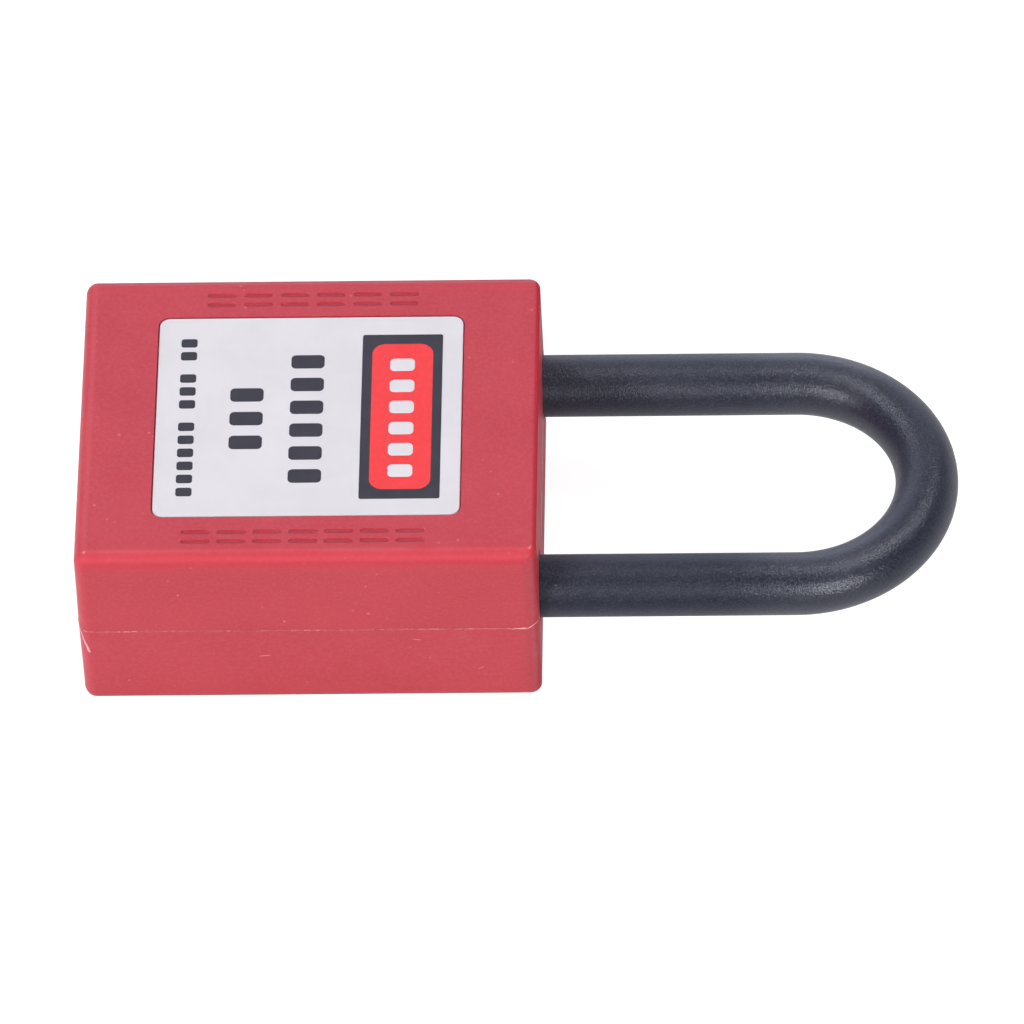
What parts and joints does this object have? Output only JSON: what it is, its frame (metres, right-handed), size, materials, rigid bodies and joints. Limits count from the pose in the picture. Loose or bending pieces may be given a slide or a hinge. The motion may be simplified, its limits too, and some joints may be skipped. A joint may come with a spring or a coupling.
{
  "type": "safety padlock",
  "caption": "Lockout padlock with a moulded red two-half body, a round black non-conductive U shackle and a keyed cylinder in the end face that throws two bolts into the shackle legs.",
  "frame": {"origin": "centre of the padlock's footprint, in the plane it rests on (21.9 mm from the body's centre towards the shackle)", "axes": "+X from the key end towards the shackle bend, +Y from the toe leg to the heel leg, +Z out of the label face"},
  "size_m": [0.0918, 0.0388, 0.0234],
  "materials": {
    "shell_red": "satin moulded thermoplastic",
    "label_film": "satin printed film",
    "shackle_nylon": "matte nylon",
    "brass": "machined",
    "brass_plug": "fine machined",
    "steel": "zinc plated",
    "spring_steel": "drawn wire"
  },
  "bodies": {
    "housing": {"front_shell": "shell_red", "back_shell": "shell_red", "front_label": "label_film", "back_label": "label_film", "cylinder_housing": "brass", "chamber_cover": "brass", "heel_retaining_pin": "steel", "shackle_spring": "spring_steel", "driver_spring_1": "spring_steel", "driver_spring_2": "spring_steel", "driver_spring_3": "spring_steel", "driver_spring_4": "spring_steel", "driver_spring_5": "spring_steel"},
    "plug": {"plug": "brass_plug", "plug_clip": "spring_steel", "actuator": "steel"},
    "shackle": {"shackle": "shackle_nylon"},
    "toe_bolt": {"toe_bolt": "steel"},
    "heel_bolt": {"heel_bolt": "steel"},
    "driver_1": {"driver_pin_1": "steel"},
    "key_side_1": {"key_pin_1": "brass_plug"},
    "driver_2": {"driver_pin_2": "steel"},
    "key_side_2": {"key_pin_2": "brass_plug"},
    "driver_3": {"driver_pin_3": "steel"},
    "key_side_3": {"key_pin_3": "brass_plug"},
    "driver_4": {"driver_pin_4": "steel"},
    "key_side_4": {"key_pin_4": "brass_plug"},
    "driver_5": {"driver_pin_5": "steel"},
    "key_side_5": {"key_pin_5": "brass_plug"}
  },
  "joints": [
    {"name": "plug_turn", "type": "hinge", "parent": "housing", "child": "plug", "pos_m": [0, 0, 0.0117], "axis": [1, 0, 0], "range_deg": [0, 90]},
    {"name": "shackle_lift", "type": "slide", "parent": "housing", "child": "shackle", "axis": [1, 0, 0], "range_m": [0, 0.012], "deforming": ["shackle_spring"]},
    {"name": "toe_bolt_throw", "type": "slide", "parent": "housing", "child": "toe_bolt", "axis": [0, -1, 0], "range_m": [0, 0.002]},
    {"name": "heel_bolt_throw", "type": "slide", "parent": "housing", "child": "heel_bolt", "axis": [0, 1, 0], "range_m": [0, 0.002]},
    {"name": "driver_pin_1_slide", "type": "slide", "parent": "housing", "child": "driver_1", "axis": [0, -1, 0], "range_m": [0, 0.0012], "deforming": ["driver_spring_1"]},
    {"name": "driver_pin_2_slide", "type": "slide", "parent": "housing", "child": "driver_2", "axis": [0, -1, 0], "range_m": [0, 0.0012], "deforming": ["driver_spring_2"]},
    {"name": "driver_pin_3_slide", "type": "slide", "parent": "housing", "child": "driver_3", "axis": [0, -1, 0], "range_m": [0, 0.0012], "deforming": ["driver_spring_3"]},
    {"name": "driver_pin_4_slide", "type": "slide", "parent": "housing", "child": "driver_4", "axis": [0, -1, 0], "range_m": [0, 0.0012], "deforming": ["driver_spring_4"]},
    {"name": "driver_pin_5_slide", "type": "slide", "parent": "housing", "child": "driver_5", "axis": [0, -1, 0], "range_m": [0, 0.0012], "deforming": ["driver_spring_5"]},
    {"name": "key_pin_1_slide", "type": "slide", "parent": "plug", "child": "key_side_1", "axis": [0, 1, 0], "range_m": [0, 0.0008]},
    {"name": "key_pin_2_slide", "type": "slide", "parent": "plug", "child": "key_side_2", "axis": [0, 1, 0], "range_m": [0, 0.0008]},
    {"name": "key_pin_3_slide", "type": "slide", "parent": "plug", "child": "key_side_3", "axis": [0, 1, 0], "range_m": [0, 0.0008]},
    {"name": "key_pin_4_slide", "type": "slide", "parent": "plug", "child": "key_side_4", "axis": [0, 1, 0], "range_m": [0, 0.0008]},
    {"name": "key_pin_5_slide", "type": "slide", "parent": "plug", "child": "key_side_5", "axis": [0, 1, 0], "range_m": [0, 0.0008]}
  ],
  "couplings": [
    {"joint": "toe_bolt_throw", "follows": "plug_turn", "m_per_rad": 0.001273},
    {"joint": "heel_bolt_throw", "follows": "plug_turn", "m_per_rad": 0.001273}
  ]
}
